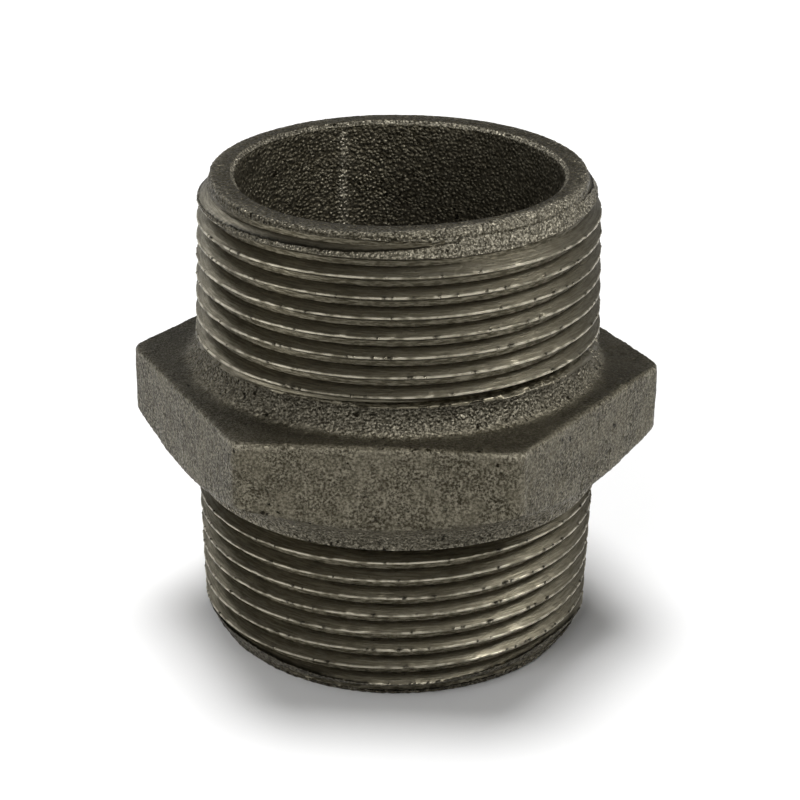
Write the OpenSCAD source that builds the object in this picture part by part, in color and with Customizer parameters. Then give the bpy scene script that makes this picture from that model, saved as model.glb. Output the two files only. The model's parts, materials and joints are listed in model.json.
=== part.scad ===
// Hexagon nipple, 1 1/2 inch, with an ISO 7-1 taper pipe thread (R 1 1/2) on each end.
// One malleable iron casting: a hexagon collar between two male threads, with a plain
// waterway through it. The casting is drawn as three zones that meet face to face.
// The axis is Z, and the origin is the centre of the lower end face.

/* [Casting] */
// Overall length between the two end faces
overall_length = 57.5; // [56:0.5:68]
// Diameter of the waterway through the casting
bore_d = 38.5; // [36:0.1:39]
// Break on the waterway's edge at each end face
bore_edge = 0.7; // [0.3:0.1:1]

/* [Hexagon] */
// Distance across the flats
across_flats = 55; // [54:0.5:58]
// Height of the hexagon's top face above mid-length
hex_top = 5.4; // [4:0.1:6]
// Radius of the hexagon's upright corners
corner_r = 2; // [1.5:0.5:3]
// Break on the hexagon's top edges
edge_break = 0.8; // [0.4:0.1:1.2]
// Steepness of the hexagon's hollow underside: smaller is steeper
underside = 0.2; // [0.15:0.01:0.3]

/* [Collars between hexagon and threads] */
// Length from mid-length to the end of each collar, where the thread begins
collar_half = 8.75; // [8.5:0.25:9.5]
// Diameter of the upper collar, where the thread runs out into it
collar_d = 47.2; // [46.8:0.1:47.6]
// Radius of the cast fillet at the upper collar's foot
fillet_r = 2.4; // [1.5:0.1:2.4]
// Diameter of the lower collar, where the underside of the hexagon runs out into it
lower_collar_d = 48.4; // [48:0.1:48.8]

/* [Cast nose at each end] */
// Width of the flat end face, from the waterway to the rounded shoulder
face_width = 2; // [1.4:0.1:2.2]
// Radius of the rounded shoulder
shoulder_r = 1; // [0.6:0.1:1.2]
// Distance from the end face at which the nose reaches the thread's crests
nose_length = 3.8; // [3.5:0.1:5]

/* [Taper thread R 1 1/2] */
// Major diameter at the gauge plane
gauge_d = 47.803; // [47.6:0.001:48]
// Distance of the gauge plane from the end face
gauge_length = 12.7; // [10.4:0.1:15]
// Thread pitch, 11 threads an inch
pitch = 2.309; // [2.2:0.001:2.4]
// Depth of the thread from crest to root
thread_depth = 1.479; // [1.3:0.001:1.5]
// Turns over which the thread fades into the collar
runout_turns = 0.3; // [0.3:0.1:2]
// Turn of the upper thread's start about the axis, kept off the blank's own facets
upper_start = 76; // [1:5:356]
// Turn of the lower thread's start about the axis, kept off the blank's own facets
lower_start = 331; // [1:5:356]

/* [Hidden] */
iron = [0.29, 0.28, 0.245];
cut_iron = [0.22, 0.21, 0.185];
$fn = 96;

bore_r = bore_d / 2;
collar_r = collar_d / 2;
zone_length = overall_length / 2 - collar_half;        // length of one thread zone
corner_fn = 36;                                        // facets round a hexagon corner
arc_step = 15;                                         // degrees between points of an arc
underside_step = 0.7;                                  // height between points of the underside
bore_overlap = 1;                                      // wall drawn inside the waterway, then bored out
turned_fn = 96;                                        // flat facets round the underside

taper = 1 / 32;                    // radius gained for each millimetre away from the end face
flank_angle = 27.5;                // half the angle of the Whitworth form
flank_run = thread_depth * tan(flank_angle);
flat_run = (pitch - 2 * flank_run) / 2;
turn_steps = 72;                   // columns of points round the screw
rows_per_turn = 4;                 // corners of one thread form
spare_turns = 2;                   // turns of screw beyond each end of the zone
stock = 0.6;                       // how far the blank stands outside the thread's crests
stock_rise = 1;                    // length over which the blank widens to its stock

// Radius of the thread's crests at a distance from the end face
function crest_r(z) = gauge_d / 2 + (z - gauge_length) * taper;

// Share of the full depth that the thread has at this distance from the end face
function depth_share(z) = max(0, min(1, (zone_length - z) / (runout_turns * pitch)));

// The four corners of one thread form: where each lies along the pitch, and how deep
corner_z = [0, flat_run, flat_run + flank_run, 2 * flat_run + flank_run];
corner_depth = [0, 0, 1, 1];

function thread_point(step, row) =
    let (corner = row % rows_per_turn,
         turns = floor(row / rows_per_turn) + step / turn_steps - spare_turns,
         z = turns * pitch + corner_z[corner],
         r = crest_r(z) - thread_depth * corner_depth[corner] * depth_share(z),
         angle = 360 * step / turn_steps)
    [r * cos(angle), r * sin(angle), z];

// A solid right-hand screw, longer than the zone at both ends. Its last column of points
// meets the first one a whole turn on, and each end closes on a point of the axis.
module screw() {
    turns = ceil(zone_length / pitch) + 2 * spare_turns;
    rows = turns * rows_per_turn;
    points = [for (step = [0:turn_steps - 1], row = [0:rows - 1]) thread_point(step, row)];
    foot = len(points);
    head = foot + 1;
    // Index of a point, with the seam's far side taken from the first column
    function at(step, row) =
        step < turn_steps ? step * rows + row : row + rows_per_turn;
    // Last row that has a neighbour in the next column
    function last_row(step) = step < turn_steps - 1 ? rows - 1 : rows - 1 - rows_per_turn;
    walls = [for (step = [0:turn_steps - 1], row = [0:last_row(step) - 1])
        each [[at(step, row), at(step, row + 1), at(step + 1, row)],
              [at(step + 1, row), at(step, row + 1), at(step + 1, row + 1)]]];
    foot_rim = concat([for (step = [0:turn_steps - 1]) at(step, 0)],
                      [for (row = [rows_per_turn:-1:1]) row]);
    top = rows - 1;
    head_rim = concat([for (step = [0:turn_steps - 2]) at(step, top)],
                      [for (row = [top:-1:top - rows_per_turn + 1]) at(turn_steps - 1, row)],
                      [at(turn_steps - 1, top - rows_per_turn)]);
    foot_fan = [for (i = [0:len(foot_rim) - 1])
        [foot, foot_rim[i], foot_rim[(i + 1) % len(foot_rim)]]];
    head_fan = [for (i = [0:len(head_rim) - 1])
        [head, head_rim[(i + 1) % len(head_rim)], head_rim[i]]];
    foot_z = -spare_turns * pitch;
    head_z = (turns - spare_turns) * pitch;
    polyhedron(points = concat(points, [[0, 0, foot_z], [0, 0, head_z]]),
               faces = concat(walls, foot_fan, head_fan));
}

// The blank before threading: waterway, end face, rounded nose and stock outside the crests
module blank() {
    stock_r = crest_r(zone_length) + stock;
    shoulder_at = bore_r + face_width;
    shoulder = [for (a = [90:-arc_step:0])
        [shoulder_at + shoulder_r * cos(a), shoulder_r * (1 - sin(a))]];
    rotate_extrude()
        polygon(concat([[bore_r, zone_length], [bore_r, bore_edge], [bore_r + bore_edge, 0]],
                       shoulder,
                       [[crest_r(nose_length), nose_length],
                        [stock_r, nose_length + stock_rise],
                        [stock_r, zone_length]]));
}

// One threaded end, with its end face on the plane z = 0
module thread_end(start) {
    intersection() {
        blank();
        rotate([0, 0, start]) screw();
    }
}

module upper_thread_end() {
    color(cut_iron)
        translate([0, 0, overall_length])
            rotate([180, 0, 0])
                thread_end(upper_start);
}

module lower_thread_end() {
    color(cut_iron) thread_end(lower_start);
}

// A hexagon prism with its corners rounded and its top edges broken
module prism() {
    corner_at = (across_flats / 2 - corner_r) / cos(30);
    hull()
        for (a = [0:60:300])
            rotate([0, 0, a])
                translate([corner_at, 0, -collar_half]) {
                    cylinder(r = corner_r, h = collar_half + hex_top - edge_break,
                             $fn = corner_fn);
                    cylinder(r = corner_r - edge_break, h = collar_half + hex_top,
                             $fn = corner_fn);
                }
}

// A solid of flat facets round the axis, from a profile of [radius, height] points going up
module turned(profile) {
    rings = len(profile);
    points = [for (k = [0:turned_fn - 1], p = profile)
        [p[0] * cos(360 * k / turned_fn), p[0] * sin(360 * k / turned_fn), p[1]]];
    foot = len(points);
    head = foot + 1;
    function at(k, ring) = (k % turned_fn) * rings + ring;
    walls = [for (k = [0:turned_fn - 1], ring = [0:rings - 2])
        each [[at(k, ring), at(k, ring + 1), at(k + 1, ring)],
              [at(k + 1, ring), at(k, ring + 1), at(k + 1, ring + 1)]]];
    caps = [for (k = [0:turned_fn - 1])
        each [[foot, at(k, 0), at(k + 1, 0)],
              [head, at(k + 1, rings - 1), at(k, rings - 1)]]];
    polyhedron(points = concat(points, [[0, 0, profile[0][1]], [0, 0, profile[rings - 1][1]]]),
               faces = concat(walls, caps));
}

// The hexagon, whose underside curves down and in until it is the lower collar
module hexagon() {
    widest = across_flats / 2 / cos(30) + 1;
    drop = sqrt((widest - lower_collar_d / 2) / underside);
    hollow = [for (rise = [0:underside_step:drop + underside_step])
        [lower_collar_d / 2 + underside * rise * rise, rise - collar_half]];
    last = hollow[len(hollow) - 1];
    intersection() {
        prism();
        turned(concat(hollow, [[last[0], hex_top + 1]]));
    }
}

// The collar above the hexagon, with its cast fillet
module upper_collar() {
    inner_r = bore_r - bore_overlap;
    fillet = [for (a = [270:-arc_step:180])
        [collar_r + fillet_r + fillet_r * cos(a), hex_top + fillet_r + fillet_r * sin(a)]];
    rotate_extrude()
        polygon(concat([[inner_r, 0], [collar_r + fillet_r, 0]],
                       fillet,
                       [[collar_r, collar_half], [inner_r, collar_half]]));
}

module hex_collar() {
    color(iron)
        translate([0, 0, overall_length / 2])
            difference() {
                union() {
                    hexagon();
                    upper_collar();
                }
                cylinder(r = bore_r, h = overall_length, center = true);
            }
}

hex_collar();
upper_thread_end();
lower_thread_end();
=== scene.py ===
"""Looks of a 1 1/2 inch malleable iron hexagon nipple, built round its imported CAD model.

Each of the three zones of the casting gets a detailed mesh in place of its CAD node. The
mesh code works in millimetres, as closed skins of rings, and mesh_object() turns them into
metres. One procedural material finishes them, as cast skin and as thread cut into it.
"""
import json
import math

import bpy
import numpy as np
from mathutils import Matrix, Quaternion, Vector


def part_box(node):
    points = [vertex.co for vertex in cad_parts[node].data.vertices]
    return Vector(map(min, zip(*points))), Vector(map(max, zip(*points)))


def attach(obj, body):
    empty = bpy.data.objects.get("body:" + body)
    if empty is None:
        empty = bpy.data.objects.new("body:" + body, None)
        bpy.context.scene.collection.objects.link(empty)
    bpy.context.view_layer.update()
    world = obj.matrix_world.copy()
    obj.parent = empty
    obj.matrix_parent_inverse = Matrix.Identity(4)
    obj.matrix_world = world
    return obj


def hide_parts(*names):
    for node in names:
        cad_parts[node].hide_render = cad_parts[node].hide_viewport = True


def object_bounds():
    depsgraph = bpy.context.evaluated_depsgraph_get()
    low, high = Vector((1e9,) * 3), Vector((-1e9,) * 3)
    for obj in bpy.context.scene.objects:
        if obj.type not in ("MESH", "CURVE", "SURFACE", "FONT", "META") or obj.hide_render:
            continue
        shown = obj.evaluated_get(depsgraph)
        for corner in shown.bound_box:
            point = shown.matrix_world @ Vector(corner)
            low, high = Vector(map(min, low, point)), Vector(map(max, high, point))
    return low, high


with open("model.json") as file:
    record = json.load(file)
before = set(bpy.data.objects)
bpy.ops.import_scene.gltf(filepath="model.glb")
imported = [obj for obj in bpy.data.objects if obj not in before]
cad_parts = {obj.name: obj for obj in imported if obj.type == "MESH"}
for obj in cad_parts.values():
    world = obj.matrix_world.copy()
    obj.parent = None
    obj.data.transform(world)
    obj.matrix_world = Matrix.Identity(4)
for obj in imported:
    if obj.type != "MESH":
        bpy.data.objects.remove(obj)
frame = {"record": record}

CAD_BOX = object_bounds()
MM = 0.001

# ---------------------------------------------------------------- sizes from the frame, in mm
HEX_LOW, HEX_HIGH = (np.array(corner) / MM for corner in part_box("hex_collar"))
LENGTH = CAD_BOX[1].z / MM
MIDDLE = LENGTH / 2
ACROSS_FLATS = HEX_HIGH[1] - HEX_LOW[1]
COLLAR_HALF = (HEX_HIGH[2] - HEX_LOW[2]) / 2
ZONE = MIDDLE - COLLAR_HALF
WATERWAY = next(m for m in frame["record"]["mounts"] if m["name"] == "waterway")
BORE_R = WATERWAY["dims"]["r_mm"]

# ---------------------------------------------------------------- sizes the frame doesn't state
HEX_TOP = 5.4                   # hexagon's top face above the middle plane
CORNER_R = 2.0                  # hexagon's upright corners
EDGE_R = 0.55                   # rounding of the hexagon's edges
UNDERSIDE = 0.2                 # how fast the hexagon's hollow underside widens
COLLAR_R = 23.6                 # collar above the hexagon
LOWER_COLLAR_R = 24.2           # collar below the hexagon
FILLET_R = 2.4                  # cast fillet between the hexagon's top face and the collar
CASTING_SHIFT = (-0.30, -0.02)  # how far the casting stands off the threads' axis
RIM_R = 0.5                     # break on the waterway's edge
NOSE_EDGE_R = 0.45              # rounding of each end face's outer edge
PITCH = 2.309
GAUGE_R = 47.803 / 2            # crest radius at the gauge plane
GAUGE_LENGTH = 12.7             # gauge plane's distance from the end face
THREAD_DEPTH = 1.479
TAPER = 1 / 32                  # radius gained per mm away from the end face
FLANK_ANGLE = 27.5
FLANK_RUN = THREAD_DEPTH * math.tan(math.radians(FLANK_ANGLE))
CREST_HALF = 0.10               # half width of the worn crests
CREST_AT = (PITCH / 2 - FLANK_RUN) / 2   # from a turn's start to the middle of its crest
RUNOUT = 0.3 * PITCH            # length over which the thread fades into the collar
UPPER_START = 76.0              # bearings of the threads' starts, in degrees
LOWER_START = 331.0
CHASER_STOP = -128.0            # bearing of the mark where the thread's cutter stopped
CORE_SEAM = 115.0               # bearing of the core's joint in the waterway
LOWEST_NOSE = -46.0             # bearing at which the upper nose is lowest

# ---------------------------------------------------------------- fineness of the meshes
COLUMNS = 576                   # columns round each threaded end
HEX_COLUMNS = 900               # columns round the hexagon
ROW_GAP = 0.02                  # least height between an edge ring and a row of the helix
LEAST_DEPTH = 0.02              # share of the thread's depth taken where it has faded out
MOUTH_DEPTH = 10                # depth to which the waterway's rings are close together
TURN = 2 * math.pi
LATTICE_START = 1000.0          # keeps the cells of the random fields' lattice positive


# ---------------------------------------------------------------- random fields
def hashed(cells, seed):
    """A repeatable random number from 0 to 1 for each whole-number lattice cell."""
    n = cells[..., 0] * 374761393 + cells[..., 1] * 668265263 + cells[..., 2] * 1274126177
    n = (n + seed * 974634777) & 0xFFFFFFFF
    n = ((n ^ (n >> 13)) * 1103515245) & 0xFFFFFFFF
    n = ((n ^ (n >> 15)) * 2654435761) & 0xFFFFFFFF
    return ((n ^ (n >> 16)) & 0xFFFFFF) / 0xFFFFFF


def noise(points, size, seed):
    """Smooth noise from -1 to 1, with features of about the given size in mm."""
    at = points / size + LATTICE_START
    cell = np.floor(at).astype(np.int64)
    part = at - cell
    part = part * part * part * (part * (part * 6 - 15) + 10)
    total = np.zeros(points.shape[:-1])
    for corner in np.ndindex(2, 2, 2):
        share = np.prod(np.where(corner, part, 1 - part), axis=-1)
        total += share * hashed(cell + np.array(corner), seed)
    return total * 2 - 1


def pebbles(points, size, seed):
    """Rounded lumps of about the given size in mm: 1 on top of a lump, 0 between lumps."""
    at = points / size + LATTICE_START
    cell = np.floor(at).astype(np.int64)
    nearest = np.full(points.shape[:-1], np.inf)
    for step in np.ndindex(3, 3, 3):
        near = cell + np.array(step) - 1
        offset = np.stack([hashed(near, seed + axis) for axis in range(3)], axis=-1)
        nearest = np.minimum(nearest, np.linalg.norm(near + offset - at, axis=-1))
    return np.clip(1 - nearest, 0, 1)


def smoothstep(low, high, value):
    """0 below low, 1 above high, and a smooth rise between them."""
    t = np.clip((value - low) / (high - low), 0, 1)
    return t * t * (3 - 2 * t)


def turned_to(angle, centre, width):
    """1 at a bearing in degrees, falling smoothly to 0 at width degrees to either side."""
    away = np.abs((np.degrees(angle) - centre + 180) % 360 - 180)
    return smoothstep(width, 0, away)


# ---------------------------------------------------------------- meshes
class Skin:
    """A mesh under construction: points in mm, faces, and a value of each mask per point.

    cast is 1 on the rough casting and 0 on cut metal, bore is 1 in the waterway, which is also
    painted with shade, crest marks what is burnished and where highlights are painted on the
    casting, root what is torn and painted with shade, coarse what is pebbled and shade where
    shade is painted. Edges between points whose ridge is 1 are sharp.
    """

    MASKS = ("cast", "bore", "crest", "root", "coarse", "shade", "ridge")

    def __init__(self):
        self.points, self.faces, self.masks = [], [], []
        self.count = 0

    def add(self, points, **masks):
        """Adds points with their masks, which are 0 where not given, and returns indices."""
        shape = points.shape[:-1]
        self.points.append(points.reshape(-1, 3))
        values = [np.broadcast_to(masks.get(name, 0.0), shape).ravel() for name in self.MASKS]
        self.masks.append(np.stack(values, axis=-1))
        start = self.count
        self.count += int(np.prod(shape))
        return np.arange(start, self.count).reshape(shape)

    def strip(self, above, below):
        """Faces between two rings of indices; below is further down the outside."""
        following = np.roll(np.arange(len(above)), -1)
        self.faces += np.stack(
            [below, below[following], above[following], above], axis=-1).tolist()


def mesh_object(name, skin):
    """A Blender object from a skin, smooth-shaded except along the rows marked as ridges."""
    mesh = bpy.data.meshes.new(name)
    points = np.concatenate(skin.points) * MM
    mesh.from_pydata(points.tolist(), [], skin.faces)
    mesh.validate()
    masks = np.concatenate(skin.masks).astype(np.float32)
    for column, attribute in enumerate(Skin.MASKS):
        layer = mesh.attributes.new(attribute, "FLOAT", "POINT")
        layer.data.foreach_set("value", np.ascontiguousarray(masks[:, column]))
    mesh.polygons.foreach_set("use_smooth", [True] * len(mesh.polygons))
    ends = np.empty(len(mesh.edges) * 2, dtype=np.int32)
    mesh.edges.foreach_get("vertices", ends)
    ridge = masks[ends.reshape(-1, 2), Skin.MASKS.index("ridge")].min(axis=1) > 0.5
    mesh.edges.foreach_set("use_edge_sharp", ridge)
    piece = bpy.data.objects.new(name, mesh)
    bpy.context.scene.collection.objects.link(piece)
    return piece


# ---------------------------------------------------------------- the cast blanks
# Bearings are about the axis: -90 is the front, 0 the right, 90 the back and 180 the left.
def bore_bump(points):
    """Roughness of the cored waterway at points on its wall, in mm."""
    lumps = 0.5 - pebbles(points, 0.62, 61)
    rough = 0.13 * lumps + 0.05 * noise(points, 0.4, 62) + 0.14 * noise(points, 5.0, 63)
    return rough - 0.35 * core_seam(points) * pebbles(points, 0.8, 64)


def core_seam(points):
    """1 along the ridge that the core's joint left down the waterway."""
    return turned_to(np.arctan2(points[..., 1], points[..., 0]), CORE_SEAM, 3.0)


def low_side(bearing):
    """1 on the side where the upper nose is lowest, and the first crest is missing."""
    return turned_to(bearing, LOWEST_NOSE, 54)


def upper_nose(bearing, h):
    """Radius of the upper end's cast nose, h from the face: upright, then widening."""
    low, right = low_side(bearing), turned_to(bearing, 5, 35)
    back_right, back_left = turned_to(bearing, 60, 60), turned_to(bearing, 150, 45)
    foot = 22.15 + 0.35 * back_right - 0.35 * back_left - 0.68 * low - 0.25 * right
    upright = 1.15 - 0.25 * low - 0.6 * turned_to(bearing, 9, 45)
    slope = (0.6 - 0.4 * low) * np.clip(h - upright, 0, None)
    return foot + 0.1 * h + slope + low * np.clip(h - 3.05, 0, None)


def upper_face(bearing):
    """How far the upper end's face lies below the casting's full length."""
    return 0.05 + 0.5 * turned_to(bearing, -126, 65)


def upper_edge(bearing):
    """Radius to which the upper face's outer edge is rounded: more on the low side."""
    return NOSE_EDGE_R + 0.75 * low_side(bearing)


def lower_nose(bearing, h):
    """Radius of the lower end's cast nose, h from the face: steeper at the front and back."""
    left, right = turned_to(bearing, -140, 50), turned_to(bearing, -34, 45)
    sides = turned_to(bearing, 9, 32) + 0.6 * turned_to(bearing, 179, 32)
    foot = 21.75 - 0.15 * left + sides
    steep = 0.82 - 0.36 * left - 0.42 * right - 0.3 * sides
    return foot + steep * h + 0.5 * np.clip(h - 3.2, 0, None)


def lower_face(bearing):
    """The lower end's face is flat: the nipple stands on it."""
    return np.zeros_like(bearing)


def lower_edge(bearing):
    """Radius to which the lower face's outer edge is rounded."""
    return np.full_like(bearing, NOSE_EDGE_R)


def gleam(edge):
    """Burnish and a painted highlight on the cast nose, more where its edge is rounded more."""
    return 0.1 + 0.6 * edge


# ---------------------------------------------------------------- the threaded ends
def crest_radius(h):
    """Radius of the thread's crests at a distance from the end face."""
    return GAUGE_R + (h - GAUGE_LENGTH) * TAPER


def depth_share(h):
    """Share of the full thread depth, which fades out at the collar."""
    return np.clip((ZONE - h) / RUNOUT, 0, 1)


def around(bearing, h):
    """Points on a cylinder of the thread's radius: where the random fields are read."""
    return np.stack([GAUGE_R * np.cos(bearing), GAUGE_R * np.sin(bearing),
                     np.broadcast_to(h, bearing.shape)], axis=-1)


class ThreadedEnd:
    """One threaded end, in its own frame: h is the distance in mm from the end face."""

    def __init__(self, upper, start, seed, nose, face, edge):
        self.upper, self.start, self.seed = upper, math.radians(start), seed
        self.nose, self.face, self.edge = nose, face, edge
        self.skin = Skin()

    def place(self, r, bearing, h):
        """The point in the part's frame at a radius, a bearing in the end's frame and an h."""
        side = -1 if self.upper else 1
        z = LENGTH - h if self.upper else h
        return np.stack(np.broadcast_arrays(
            r * np.cos(bearing), side * r * np.sin(bearing), z), axis=-1)

    def part_bearing(self, bearing):
        """The bearing in the part's frame."""
        return -bearing if self.upper else bearing

    def blank_radius(self, bearing, h):
        """Radius of the rough casting before threading, ragged where it meets the collar."""
        h = np.clip(h, 0.0, ZONE)
        at = around(bearing, h)
        rough = 0.13 * (pebbles(at, 0.6, self.seed) - 0.5) + 0.05 * noise(at, 0.35, self.seed + 5)
        uneven = 0.08 * noise(at, 6.0, self.seed + 3)
        nose = self.nose(self.part_bearing(bearing), h) + rough + uneven
        chipped = np.clip(noise(at, 0.9, self.seed + 9), 0, 1) * smoothstep(ZONE - 0.5, ZONE, h)
        return np.minimum(nose, crest_radius(h) + 0.05 - 0.3 * chipped)

    def crest_wear(self, bearings, h):
        """How far nicks lower the crests and burrs raise them."""
        at = around(bearings, h)
        nicks = smoothstep(0.35, 0.8, noise(at, 0.9, self.seed + 13))
        burrs = smoothstep(0.5, 0.7, noise(at, 0.4, self.seed + 17))
        return 0.02 * noise(at, 4.0, self.seed + 15) - 0.09 * nicks + 0.07 * burrs

    def root_wear(self, bearings, h):
        """Torn metal in the roots, which starts at the mark where the chaser stopped."""
        at = around(bearings, h)
        return 0.17 * self.torn(bearings, h) * (pebbles(at, 0.4, self.seed + 19) - 0.35)

    def flank_wear(self, bearings, h):
        """Chatter and tearing on the flanks."""
        return 0.05 * self.torn(bearings, h) * noise(around(bearings, h), 0.5, self.seed + 21)

    def torn(self, bearings, h):
        """How torn the cut is, from 0 to 1: little behind the mark where the chaser stopped."""
        turned = (self.part_bearing(bearings) - math.radians(CHASER_STOP)) % TURN
        patches = smoothstep(-0.4, 0.4, noise(around(bearings, h), 4, self.seed + 27))
        return np.where(turned < TURN / 2, 0.35 + 0.65 * patches, 0.15)

    def spiral_rows(self, bearing):
        """(h, r, crest, root, ridge, shade) of each row of points along the helix, per column."""
        turns = np.arange(-3, np.ceil(ZONE / PITCH) + 2)
        centre = (turns[None, :] + (bearing[:, None] - self.start) / TURN) * PITCH + CREST_AT
        bearings = np.broadcast_to(bearing[:, None], centre.shape)
        wear = self.crest_wear(bearings, centre)
        foot = CREST_HALF + FLANK_RUN

        def flank(side):
            # the flank starts where it leaves the crest, or where it leaves the casting if
            # that lies deeper: a few repeats settle on the place
            edge = np.full(centre.shape, CREST_HALF)
            for _ in range(5):
                h = centre + side * edge
                cut = np.minimum(crest_radius(h), self.blank_radius(bearings, h))
                depth = THREAD_DEPTH * np.maximum(depth_share(h), LEAST_DEPTH)
                edge = CREST_HALF + FLANK_RUN * np.clip((crest_radius(h) - cut) / depth, 0, 1)
            # rows from the crest's edge to the root; those where the thread cuts into the
            # casting's own surface get a sharp edge, with a thin line of painted shade along it
            grooved = edge < foot - 0.1
            mouth = smoothstep(CREST_HALF + 0.03, CREST_HALF + 0.15, edge) * grooved
            rows = []
            for offset, crest, root, ridge, shade in (
                    (edge - 0.04, 1.0, 0.0, 0, 0.3), (edge, 1.0, 0.0, 1, 1.0),
                    (edge + 0.10, 0.0, 0.0, 0, 1.0), (edge + 0.6 * (foot - edge), 0.0, 0.0, 0, 0),
                    (foot, 0.0, 0.6, 1, 0)):
                h = centre + side * offset
                share = np.clip((offset - CREST_HALF) / FLANK_RUN, 0, 1)
                thread = crest_radius(h) - THREAD_DEPTH * depth_share(h) * share
                thread += crest * wear + root * self.root_wear(bearings, h)
                thread += (crest + root == 0) * self.flank_wear(bearings, h)
                r = np.minimum(thread, self.blank_radius(bearings, h))
                rows.append((h, r, np.maximum(crest, 0.6 * (1 - depth_share(h))), root,
                             ridge * grooved, shade * mouth))
            return rows[::-1] if side < 0 else rows

        def level_row(h, depth, crest, root, worn):
            r = np.minimum(crest_radius(h) - depth * depth_share(h) + worn,
                           self.blank_radius(bearings, h))
            return h, r, crest, root, 0, 0

        root_h = centre + PITCH / 2
        rows = flank(-1) + [level_row(centre, 0.0, 1.0, 0.0, wear)] + flank(1) + [
            level_row(root_h, THREAD_DEPTH, 0.0, 1.0, self.root_wear(bearings, root_h))]
        tables = [np.stack([np.broadcast_to(row[k], centre.shape) for row in rows], axis=-1)
                  .reshape(len(bearing), -1) for k in range(6)]
        return tables, len(rows)

    def cast_share(self, bearing, h, r):
        """1 where a point still lies on the rough casting, and 0 where it has been cut."""
        return smoothstep(0.03, 0.0, self.blank_radius(bearing, h) - r)

    def spiral(self, bearing, low):
        """The threaded wall from h = low to the collar; returns its two edge rings."""
        (h, r, crest, root, ridge, shade), per_turn = self.spiral_rows(bearing)
        bearings = np.broadcast_to(bearing[:, None], h.shape)
        top = np.full(COLUMNS, ZONE)
        rings = []
        for level, level_r in ((low, self.blank_radius(bearing, low)),
                               (top, self.blank_radius(bearing, top))):
            level_r = np.minimum(level_r, crest_radius(level))
            cast = self.cast_share(bearing, level, level_r)
            rings.append(self.skin.add(self.place(level_r, bearing, level), cast=cast,
                                       coarse=1.0))
        first = low[:, None] + ROW_GAP
        inside = (h > first) & (h < ZONE - ROW_GAP)
        index = np.where(h <= first, rings[0][:, None], rings[1][:, None])
        cast = self.cast_share(bearings, h, r)
        # cast left on the threaded wall gets burnish and a painted highlight
        crest = np.where(cast > 0.5, gleam(self.edge(self.part_bearing(bearings))), crest)
        index[inside] = self.skin.add(
            self.place(r, bearings, h)[inside], cast=cast[inside], crest=crest[inside],
            root=root[inside], ridge=ridge[inside], shade=shade[inside], coarse=1.0)
        following = np.roll(index, -1, axis=0)
        following[-1, :-per_turn] = index[0, per_turn:]
        following[-1, -per_turn:] = rings[1][0]
        a, b = index[:, :-1], index[:, 1:]
        d, c = following[:, :-1], following[:, 1:]
        for kind, corners in (((a != b) & (c != d), [a, d, c, b]),
                              ((a == b) & (c != d), [a, d, c]),
                              ((a != b) & (c == d), [a, d, b])):
            self.skin.faces += np.stack(corners, axis=-1)[kind].tolist()
        return rings

    def build(self):
        """Fills the skin: the threaded wall, then the end face and the waterway's wall."""
        bearing = self.start + np.arange(COLUMNS) * TURN / COLUMNS
        face = self.face(self.part_bearing(bearing))
        edge = self.edge(self.part_bearing(bearing))
        low = face + edge
        last, head = self.spiral(bearing, low)
        for h, r, masks in self.end_rings(bearing, face, self.blank_radius(bearing, low), edge):
            ring = self.skin.add(self.place(r, bearing, h), **masks)
            self.skin.strip(last, ring)
            last = ring
        self.skin.strip(last, head)

    def end_rings(self, bearing, face, wall_r, edge):
        """(h, r, masks) of each ring from the outer edge over the face and down the waterway."""
        flat_r = wall_r - edge
        for angle in np.radians([18, 36, 54, 72]):
            r, h = flat_r + edge * math.cos(angle), face + edge * (1 - math.sin(angle))
            lump = 0.13 * (pebbles(around(bearing, h), 0.6, self.seed) - 0.5)
            # the rounded outer edge gets burnish and a painted highlight
            yield (h, r + lump * math.cos(angle),
                   {"cast": 1.0, "crest": gleam(edge), "coarse": 1.0})
        inner_r = BORE_R + RIM_R
        for share in np.linspace(0, 1, 10):
            r = flat_r + (inner_r - flat_r) * share
            at = np.stack([r * np.cos(bearing), r * np.sin(bearing), face], axis=-1)
            rough = 0.10 * (0.5 - pebbles(at, 0.6, self.seed + 23)) + 0.06 * noise(at, 0.4, 25)
            # painted shade on the end face, darker towards the waterway
            yield (face + rough * math.sin(math.pi * share) ** 0.5, r,
                   {"cast": 1.0, "coarse": 0.6, "shade": min(1.0, 1.6 * share)})
        for share in (0.15, 0.5, 0.85, 1.0):
            h = face + RIM_R * share
            bump = bore_bump(self.place(BORE_R, bearing, h)) * (0.4 + 0.6 * share)
            # a painted highlight on the waterway's broken edge
            yield (h, inner_r - RIM_R * share + bump,
                   {"cast": 1.0, "crest": 0.8 * (share < 1), "coarse": 1.0})
        depths = np.concatenate([np.arange(RIM_R + 0.9, MOUTH_DEPTH, 0.4),
                                 np.linspace(MOUTH_DEPTH, ZONE, 12)])
        for h in depths:
            wall = self.place(BORE_R, bearing, np.full(COLUMNS, h))
            # the waterway is painted with shade through its bore mask, and its core's seam gets a
            # painted highlight
            yield (np.full(COLUMNS, h), BORE_R + bore_bump(wall),
                   {"cast": 1.0, "bore": 1.0, "coarse": 0.6, "crest": core_seam(wall)})


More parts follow.
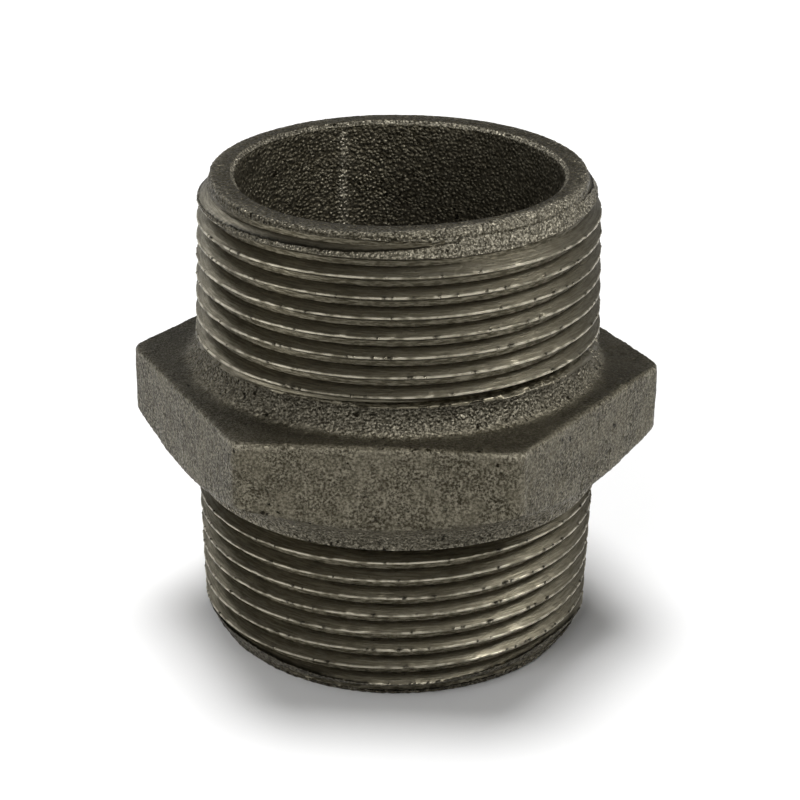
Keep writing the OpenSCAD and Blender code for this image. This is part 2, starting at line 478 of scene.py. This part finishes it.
# ---------------------------------------------------------------- the hexagon and its collars
def hexagon_radius(bearing):
    """Radius of the hexagon's outline, with rounded corners, at each bearing."""
    from_corner = np.abs((bearing + TURN / 12) % (TURN / 6) - TURN / 12)
    flat = ACROSS_FLATS / 2 / np.cos(TURN / 12 - from_corner)
    centre = (ACROSS_FLATS / 2 - CORNER_R) / math.cos(TURN / 12)
    under = CORNER_R ** 2 - (centre * np.sin(from_corner)) ** 2
    corner = centre * np.cos(from_corner) + np.sqrt(np.clip(under, 0, None))
    tangent = math.atan2(CORNER_R / 2, centre + CORNER_R * math.cos(TURN / 12))
    return np.where(from_corner < tangent, corner, flat)


def hexagon_columns():
    """Bearings of the columns, closer together near the hexagon's corners."""
    bearing = np.arange(HEX_COLUMNS) * TURN / HEX_COLUMNS
    return bearing - 0.075 * np.sin(6 * bearing)


def hexagon_section(bearing):
    """(r, z) of each ring down the outside, with z above the nipple's middle plane."""
    outline = hexagon_radius(bearing)
    same = np.ones_like(bearing)
    rings = [(COLLAR_R * same, z * same) for z in np.arange(COLLAR_HALF, HEX_TOP + FILLET_R, -0.3)]
    for angle in np.radians(np.linspace(180, 270, 10)):
        rings.append((same * (COLLAR_R + FILLET_R * (1 + math.cos(angle))),
                      same * (HEX_TOP + FILLET_R * (1 + math.sin(angle)))))
    inner, outer = COLLAR_R + FILLET_R, outline - EDGE_R
    for share in np.linspace(0, 1, 10)[1:-1]:
        rings.append((inner + (outer - inner) * share, HEX_TOP * same))
    for angle in np.radians(np.linspace(90, 0, 7)):
        rings.append((outer + EDGE_R * math.cos(angle),
                      same * (HEX_TOP - EDGE_R * (1 - math.sin(angle)))))
    rise = np.sqrt((outline - LOWER_COLLAR_R) / UNDERSIDE)
    low, high = rise - COLLAR_HALF + 0.3, HEX_TOP - EDGE_R
    rings += [(outline, high + (low - high) * share) for share in np.linspace(0, 1, 16)[1:]]
    rings.append((outline - 0.12, low - 0.35))
    for share in np.linspace(0.92, 0, 13):
        rings.append((LOWER_COLLAR_R + UNDERSIDE * (rise * share) ** 2,
                      rise * share - COLLAR_HALF))
    return rings


def outward(points):
    """Unit normals of a grid of points, whose rows are rings going down the outside."""
    down = np.gradient(points, axis=0)
    along = np.roll(points, -1, axis=1) - np.roll(points, 1, axis=1)
    normal = np.cross(down, along)
    return normal / np.linalg.norm(normal, axis=-1, keepdims=True)


def cast_roughness(points, fillet):
    """Roughness of the cast skin in mm: coarser on the fillets than on the hexagon."""
    rough = (0.07 + 0.16 * fillet) * (pebbles(points * [1, 1, 0.6], 0.7, 31) - 0.5)
    rough += (0.04 + 0.05 * fillet) * noise(points, 0.45, 32)
    return rough + 0.08 * noise(points, 3.0, 33) + 0.12 * noise(points, 9.0, 34)


def waterway_ring(bearing, h):
    """A ring of points on the waterway's wall, at a height above the lower end face."""
    wall = np.stack([BORE_R * np.cos(bearing), BORE_R * np.sin(bearing),
                     np.full_like(bearing, h)], axis=-1)
    wall[:, :2] *= (1 + bore_bump(wall) / BORE_R)[:, None]
    return wall


def hex_collar():
    """The hexagon, its two collars and their part of the waterway, as one closed skin."""
    bearing = hexagon_columns()
    r, z = (np.stack(column) for column in zip(*hexagon_section(bearing)))
    points = np.stack([r * np.cos(bearing), r * np.sin(bearing), z], axis=-1)
    upper_fillet = smoothstep(HEX_TOP + 0.1, HEX_TOP + 0.9, z)
    lower_fillet = smoothstep(28.0, 25.5, r) * (z < 0)
    fillet = np.maximum(upper_fillet, lower_fillet)
    # both the roughness and the shift fade out where the collars meet the threads
    from_thread = COLLAR_HALF - np.abs(z)
    rough = cast_roughness(points, fillet) * smoothstep(0, 0.5, from_thread)
    shift = smoothstep(0, 3, from_thread)[..., None] * [*CASTING_SHIFT, 0]
    points = points + outward(points) * rough[..., None] + shift + [0, 0, MIDDLE]
    outline = hexagon_radius(bearing)
    # painted highlights through the crest mask: on the top edges and corners, which are also
    # rubbed bright, on the ledge where the lower collar meets the thread and on the fillets
    top_edge = smoothstep(EDGE_R + 0.3, 0.0, np.abs(z - HEX_TOP + EDGE_R / 2))
    at_corner = smoothstep(0.96, 1.0, outline / HEX_HIGH[0])
    edge = top_edge * smoothstep(1.6, 0.2, outline - r) * (0.25 + at_corner)
    ledge = smoothstep(0.7, 0.1, z + COLLAR_HALF)
    worn = np.maximum(np.maximum(0.6 * edge, 0.8 * ledge), 0.45 * fillet)
    skin = Skin()
    coarse = np.maximum(fillet, smoothstep(2.5, 0.5, z + COLLAR_HALF))
    # painted shade on the hexagon's top face, which faces up
    top = smoothstep(0.35, 0.1, np.abs(z - HEX_TOP)) * (1 - fillet)
    rings = [skin.add(p, cast=1.0, crest=c, coarse=f, shade=t)
             for p, c, f, t in zip(points, worn, coarse, top)]
    for h in np.linspace(MIDDLE - COLLAR_HALF, MIDDLE + COLLAR_HALF, 24):
        wall = waterway_ring(bearing, h)
        # the waterway gets painted shade, and a painted highlight along the core's seam
        rings.append(skin.add(wall, cast=1.0, bore=1.0, coarse=0.6, crest=core_seam(wall)))
    for above, below in zip(rings, rings[1:] + rings[:1]):
        skin.strip(above, below)
    return mesh_object("cast_hexagon", skin)


# ---------------------------------------------------------------- materials
class Nodes:
    """Short ways to make and join shader nodes in one material."""

    def __init__(self, name):
        self.material = bpy.data.materials.new(name)
        self.material.use_nodes = True
        self.tree = self.material.node_tree
        self.shader = next(n for n in self.tree.nodes if n.type == "BSDF_PRINCIPLED")
        position = self.add("ShaderNodeTexCoord").outputs["Object"]
        in_mm = self.add("ShaderNodeVectorMath", operation="SCALE")
        in_mm.inputs["Scale"].default_value = 1 / MM
        self.tree.links.new(position, in_mm.inputs[0])
        self.place = in_mm.outputs[0]

    def add(self, kind, **settings):
        node = self.tree.nodes.new(kind)
        for key, value in settings.items():
            setattr(node, key, value)
        return node

    def join(self, value, socket):
        """Sets a socket to a number or colour, or links an output to it."""
        if isinstance(value, bpy.types.NodeSocket):
            self.tree.links.new(value, socket)
        else:
            socket.default_value = value

    def math(self, operation, a, b):
        node = self.add("ShaderNodeMath", operation=operation)
        self.join(a, node.inputs[0])
        self.join(b, node.inputs[1])
        return node.outputs[0]

    def stretched(self, scales):
        """The place with each axis scaled, so that textures stretch along it."""
        node = self.add("ShaderNodeVectorMath", operation="MULTIPLY")
        self.join(self.place, node.inputs[0])
        node.inputs[1].default_value = scales
        return node.outputs[0]

    def noise(self, size, detail=3.0, roughness=0.55, scales=None):
        """Noise from 0 to 1 with features of about size mm."""
        node = self.add("ShaderNodeTexNoise")
        self.join(self.stretched(scales) if scales else self.place, node.inputs["Vector"])
        node.inputs["Scale"].default_value = 1 / size
        node.inputs["Detail"].default_value = detail
        node.inputs["Roughness"].default_value = roughness
        return node.outputs["Fac"]

    def cells(self, size):
        """Distance from the nearest of many scattered centres about size mm apart."""
        node = self.add("ShaderNodeTexVoronoi")
        self.join(self.place, node.inputs["Vector"])
        node.inputs["Scale"].default_value = 1 / size
        return node.outputs["Distance"]

    def ramp(self, value, low, high, to_low=0.0, to_high=1.0):
        """A smooth change from to_low to to_high as the value goes from low to high."""
        node = self.add("ShaderNodeMapRange", interpolation_type="SMOOTHSTEP")
        self.join(value, node.inputs["Value"])
        for key, number in (("From Min", low), ("From Max", high),
                            ("To Min", to_low), ("To Max", to_high)):
            self.join(number, node.inputs[key])
        return node.outputs["Result"]

    def mix(self, factor, a, b):
        """A colour between a and b."""
        node = self.add("ShaderNodeMix", data_type="RGBA")
        self.join(factor, node.inputs[0])
        self.join(a, node.inputs[6])
        self.join(b, node.inputs[7])
        return node.outputs[2]

    def blend(self, factor, a, b):
        """A number between a and b."""
        node = self.add("ShaderNodeMix", data_type="FLOAT")
        self.join(factor, node.inputs[0])
        self.join(a, node.inputs[2])
        self.join(b, node.inputs[3])
        return node.outputs[0]

    def attribute(self, name):
        """A mask of the skin."""
        node = self.add("ShaderNodeAttribute", attribute_type="GEOMETRY", attribute_name=name)
        return node.outputs["Fac"]

    def bump(self, height, depth_mm):
        """A normal from a height whose range of 1 stands for a depth in mm."""
        node = self.add("ShaderNodeBump")
        node.inputs["Strength"].default_value = 1.0
        node.inputs["Distance"].default_value = depth_mm * MM
        self.join(height, node.inputs["Height"])
        return node.outputs["Normal"]


def iron_tone(level):
    """Oiled black iron's olive grey at a level: the darker, the warmer."""
    green = 0.94 - 0.12 * 0.06 / (level + 0.06)
    blue = 0.80 - 0.34 * 0.10 / (level + 0.10)
    return (level, level * green, level * blue, 1.0)


def iron(name):
    """Malleable iron: as-cast skin where the cast mask is 1, and cut metal elsewhere."""
    n = Nodes(name)
    cast, bore, crest, root, coarse, shade = (n.attribute(mask) for mask in Skin.MASKS[:6])
    # cast skin: sand grain, pebbles, blotches and clusters of dark pits
    grain = n.noise(0.30, detail=4.0, roughness=0.68)
    lumps = n.noise(1.0, detail=3.0)
    blotches = n.noise(4.0, detail=3.0)
    pebble = n.ramp(n.cells(0.46), 0.72, 0.15)
    pits = n.math("MULTIPLY", n.ramp(n.noise(0.75, detail=2.0), 0.63, 0.70),
                  n.ramp(n.noise(6.0), 0.40, 0.60))
    skin = n.mix(n.ramp(grain, 0.38, 0.64), iron_tone(0.022), iron_tone(0.20))
    skin = n.mix(n.ramp(lumps, 0.60, 0.36, 0.0, 0.5), skin, iron_tone(0.045))
    skin = n.mix(n.ramp(blotches, 0.42, 0.66, 0.0, 0.4), skin, iron_tone(0.15))
    gaps = n.math("MULTIPLY", n.math("SUBTRACT", 1.0, pebble), coarse)
    skin = n.mix(n.math("MULTIPLY", gaps, 0.7), skin, iron_tone(0.02))
    # burnish, and painted highlights on the grain tops wherever the crest mask lies on the casting
    burnish_and_painted_highlight = n.math("MULTIPLY", crest, n.ramp(grain, 0.42, 0.60, 0.12, 0.95))
    skin = n.mix(burnish_and_painted_highlight, skin, iron_tone(0.36))
    # painted shade: on the hexagon's top, the end faces, the thread's mouths and, at 0.6, the
    # waterway
    shade = n.math("MAXIMUM", shade, n.math("MULTIPLY", bore, 0.6))
    skin = n.mix(n.math("MULTIPLY", shade, 0.6), skin, iron_tone(0.03))
    skin = n.mix(pits, skin, iron_tone(0.010))
    # cut metal: streaks along the cut, dark on the flanks, burnished on the crests, torn
    # and painted with shade in the roots, with painted shade along the mouths' edges
    streaks = n.noise(0.9, detail=4.0, roughness=0.7, scales=(0.3, 0.3, 8.0))
    specks = n.noise(0.35, detail=3.0)
    worn = n.noise(1.6, detail=2.0)
    cut = n.mix(n.ramp(streaks, 0.35, 0.7), iron_tone(0.09), iron_tone(0.20))
    bright = n.mix(n.ramp(worn, 0.35, 0.62), iron_tone(0.14), iron_tone(0.38))
    torn = n.noise(0.5, detail=3.0, roughness=0.7, scales=(0.45, 0.45, 3.0))
    # the roots: torn metal, painted darker for the shade in them
    torn_root_with_painted_shade = n.mix(n.ramp(torn, 0.42, 0.62), iron_tone(0.05), iron_tone(0.16))
    cut = n.mix(n.ramp(root, 0.3, 0.7), cut, torn_root_with_painted_shade)
    cut = n.mix(n.ramp(crest, 0.3, 0.7), cut, bright)
    cut = n.mix(n.ramp(specks, 0.64, 0.76, 0.0, 0.7), cut, iron_tone(0.03))
    # painted shade along the edges where the thread cuts into the casting
    cut = n.mix(shade, cut, iron_tone(0.012))
    n.join(n.mix(cast, cut, skin), n.shader.inputs["Base Color"])
    n.shader.inputs["Metallic"].default_value = 1.0
    rough_cast = n.ramp(grain, 0.35, 0.75, 0.60, 0.34)
    rough_cut = n.ramp(streaks, 0.3, 0.8, 0.46, 0.32)
    n.join(n.blend(cast, rough_cut, rough_cast), n.shader.inputs["Roughness"])
    sand = n.math("ADD", grain, n.math("MULTIPLY", lumps, 0.8))
    sand = n.math("ADD", sand, n.math("MULTIPLY", n.math("MULTIPLY", pebble, coarse), 1.8))
    sand = n.math("SUBTRACT", sand, n.math("MULTIPLY", pits, 1.2))
    lines = n.math("ADD", n.math("MULTIPLY", streaks, 0.22), n.math("MULTIPLY", specks, 0.22))
    n.join(n.bump(n.blend(cast, lines, sand), 0.17), n.shader.inputs["Normal"])
    return n.material


# ---------------------------------------------------------------- stage
def toward(azimuth, elevation):
    """Unit vector at a bearing from the front, in degrees, and a height above level."""
    a, e = math.radians(azimuth), math.radians(elevation)
    return Vector((math.sin(a) * math.cos(e), -math.cos(a) * math.cos(e), math.sin(e)))


def camera():
    azimuth, elevation, roll = 3.61, 23.469, 0.703
    distance, target_z, to_right = 282.28, 28.103, 0.369
    back = toward(azimuth, elevation)
    target = Vector((0, 0, target_z * MM)) + to_right * MM * toward(azimuth + 90, 0)
    data = bpy.data.cameras.new("camera")
    data.lens, data.sensor_width = 104.706, 36.0
    data.clip_start, data.clip_end = 0.01, 10
    eye = bpy.data.objects.new("camera", data)
    bpy.context.scene.collection.objects.link(eye)
    eye.location = target + distance * MM * back
    eye.rotation_mode = "QUATERNION"
    tilt = Quaternion((0, 0, 1), math.radians(roll))
    eye.rotation_quaternion = (-back).to_track_quat("-Z", "Y") @ tilt
    bpy.context.scene.camera = eye


def area_light(name, azimuth, elevation, distance, size, power):
    """A softbox aimed at the nipple, which shows only in reflections off its metal."""
    target = Vector((0, 0, 30 * MM))
    back = toward(azimuth, elevation)
    data = bpy.data.lights.new(name, "AREA")
    data.shape, data.size, data.size_y = "RECTANGLE", size[0] * MM, size[1] * MM
    data.energy = power
    lamp = bpy.data.objects.new(name, data)
    lamp.visible_diffuse = False
    lamp.location = target + back * distance * MM
    lamp.rotation_mode = "QUATERNION"
    lamp.rotation_quaternion = back.to_track_quat("Z", "Y")
    bpy.context.scene.collection.objects.link(lamp)


def floor_sun(name, azimuth, elevation, spread, strength):
    """A wide soft light for the floor's brightness and shadow, which leaves no highlights."""
    back = toward(azimuth, elevation)
    data = bpy.data.lights.new(name, "SUN")
    data.energy, data.angle = strength, math.radians(spread)
    lamp = bpy.data.objects.new(name, data)
    lamp.rotation_mode = "QUATERNION"
    lamp.rotation_quaternion = back.to_track_quat("Z", "Y")
    lamp.visible_glossy = False
    bpy.context.scene.collection.objects.link(lamp)


def floor():
    """A pale plain floor, 6 m square."""
    mesh = bpy.data.meshes.new("floor")
    half = 3.0
    mesh.from_pydata([(-half, -half, 0), (half, -half, 0), (half, half, 0), (-half, half, 0)],
                     [], [(0, 1, 2, 3)])
    ground = bpy.data.objects.new("floor", mesh)
    bpy.context.scene.collection.objects.link(ground)
    material = bpy.data.materials.new("pale_floor")
    material.use_nodes = True
    shader = next(n for n in material.node_tree.nodes if n.type == "BSDF_PRINCIPLED")
    shader.inputs["Base Color"].default_value = (0.85, 0.85, 0.85, 1)
    shader.inputs["Roughness"].default_value = 0.9
    shader.inputs["Specular IOR Level"].default_value = 0.0
    mesh.materials.append(material)


def surroundings():
    """An even white world, slightly dimmer in reflections than as light."""
    world = bpy.data.worlds.new("world")
    world.use_nodes = True
    tree = world.node_tree
    path = tree.nodes.new("ShaderNodeLightPath")
    dim = tree.nodes.new("ShaderNodeMapRange")
    dim.inputs["To Min"].default_value = 0.25
    dim.inputs["To Max"].default_value = 0.24
    tree.links.new(path.outputs["Is Glossy Ray"], dim.inputs["Value"])
    tree.links.new(dim.outputs["Result"], tree.nodes["Background"].inputs["Strength"])
    tree.nodes["Background"].inputs["Color"].default_value = (1, 1, 1, 1)
    bpy.context.scene.world = world


def lights():
    """Softboxes for the metal, and suns for the floor and its shadow."""
    area_light("left_softbox", -62, 14, 420, (220, 300), 0.75)
    area_light("right_softbox", 60, 16, 420, (220, 320), 0.48)
    area_light("high_front", 12, 56, 420, (320, 160), 1.05)
    area_light("bore_light", 84, 47, 400, (120, 120), 1.6)
    area_light("back_left", -142, 36, 420, (220, 160), 0.35)
    floor_sun("floor_front", -30, 36, 40, 1.1)
    floor_sun("floor_top", -150, 82, 28, 3.0)


# ---------------------------------------------------------------- the scene
bpy.context.scene.view_settings.view_transform = "Standard"
camera()
floor()
surroundings()
lights()

metal = iron("black_iron")
upper = ThreadedEnd(True, UPPER_START, 11, upper_nose, upper_face, upper_edge)
lower = ThreadedEnd(False, LOWER_START, 21, lower_nose, lower_face, lower_edge)
upper.build()
lower.build()
for piece, node, slot in (
        (mesh_object("upper_thread", upper.skin), "upper_thread_end", "cut_thread"),
        (mesh_object("lower_thread", lower.skin), "lower_thread_end", "cut_thread"),
        (hex_collar(), "hex_collar", "cast_skin")):
    piece.data.materials.append(metal)
    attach(piece, "root")
    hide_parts(node)
